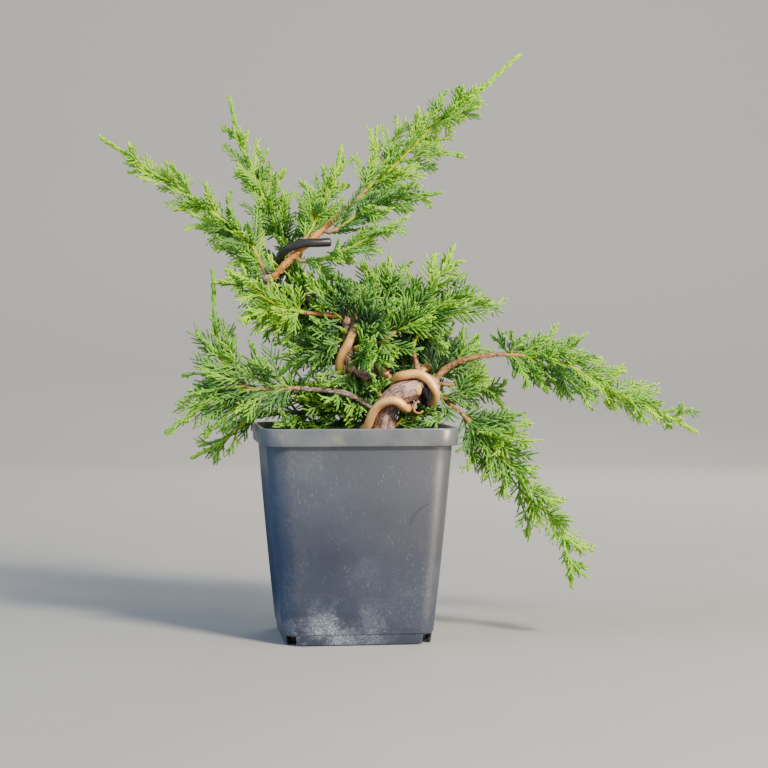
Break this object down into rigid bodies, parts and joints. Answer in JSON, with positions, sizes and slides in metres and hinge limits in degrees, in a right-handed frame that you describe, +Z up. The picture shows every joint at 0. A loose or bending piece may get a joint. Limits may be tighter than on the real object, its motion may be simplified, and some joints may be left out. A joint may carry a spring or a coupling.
{
  "type": "potted juniper bonsai in training",
  "caption": "Young juniper with a short, sharply bent and wired trunk and open feathery sprays, standing in a square tapered nursery container.",
  "frame": {"origin": "the middle of the container's flat underside, on the surface that it stands on", "axes": "+Z is up, -Y is the side that the plant is seen from, and +X is to the viewer's right; the container is turned 7 degrees about +Z against these axes"},
  "size_m": [0.3445, 0.136, 0.3356],
  "materials": {
    "container": "dusty, faintly glossy black polypropylene with pale lime deposits near the foot",
    "soil": "dark crumbly potting mix",
    "bark": "purplish grey-brown bark that flakes in thin strips",
    "young_bark": "orange-brown young bark",
    "copper_wire": "copper-coloured anodised, satin, dulled",
    "black_wire": "black anodised, satin",
    "foliage": "matte bright green leaf scales, yellow-green at the tips"
  },
  "bodies": {
    "root": {"container": "container", "soil": "soil", "trunk": "bark", "leader": "young_bark", "bough_low_left": "young_bark", "bough_low_back": "young_bark", "bough_right_upper": "young_bark", "bough_right_low": "young_bark", "bough_bend": "young_bark", "bough_middle_left": "young_bark", "bough_middle_right": "young_bark", "bough_back_up": "young_bark", "bough_back_left": "young_bark", "bough_back_right": "young_bark", "trunk_wire": "copper_wire", "leader_wire": "black_wire", "leader_spray": "foliage", "leader_mid": "foliage", "leader_right": "foliage", "leader_centre": "foliage", "upper_left": "foliage", "upper_middle": "foliage", "middle_left": "foliage", "left_low": "foliage", "left_hanging": "foliage", "right_upper": "foliage", "right_low": "foliage", "right_middle": "foliage", "middle_right": "foliage", "bend_spray": "foliage", "upper_back": "foliage", "knot_spray": "foliage", "centre_left": "foliage", "centre_front": "foliage", "low_centre": "foliage", "low_right": "foliage", "back_left": "foliage", "back_right": "foliage"}
  },
  "joints": []
}
